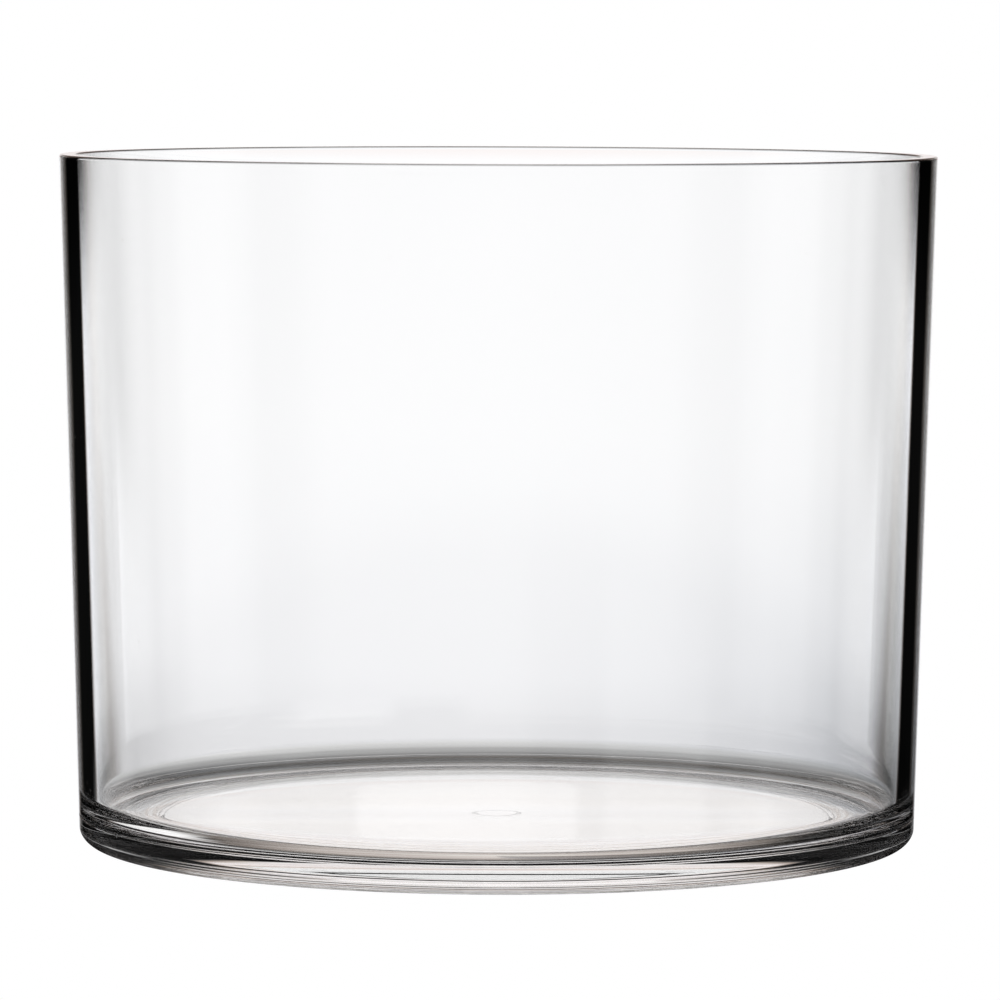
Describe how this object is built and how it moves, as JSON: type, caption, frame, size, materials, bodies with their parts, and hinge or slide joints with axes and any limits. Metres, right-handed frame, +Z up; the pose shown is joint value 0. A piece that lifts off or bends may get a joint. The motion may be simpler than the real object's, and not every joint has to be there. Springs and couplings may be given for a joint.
{
  "type": "crystallizing dish",
  "caption": "Deep clear crystallizing dish: a drafted round side wall bonded to a thick flat base with a coved inside corner.",
  "frame": {"origin": "centre of the underside, in the plane of the foot ring that the dish stands on", "axes": "+Z up along the dish's axis, out of the open mouth; X and Y are alike because the dish is round"},
  "size_m": [0.2, 0.2, 0.157],
  "materials": {
    "clear_body": "colourless, clear, polished inside and out",
    "clear_cement": "colourless clear cement, smooth meniscus"
  },
  "bodies": {
    "root": {"side_wall": "clear_body", "base_plate": "clear_body", "corner_bead": "clear_cement"}
  },
  "joints": []
}
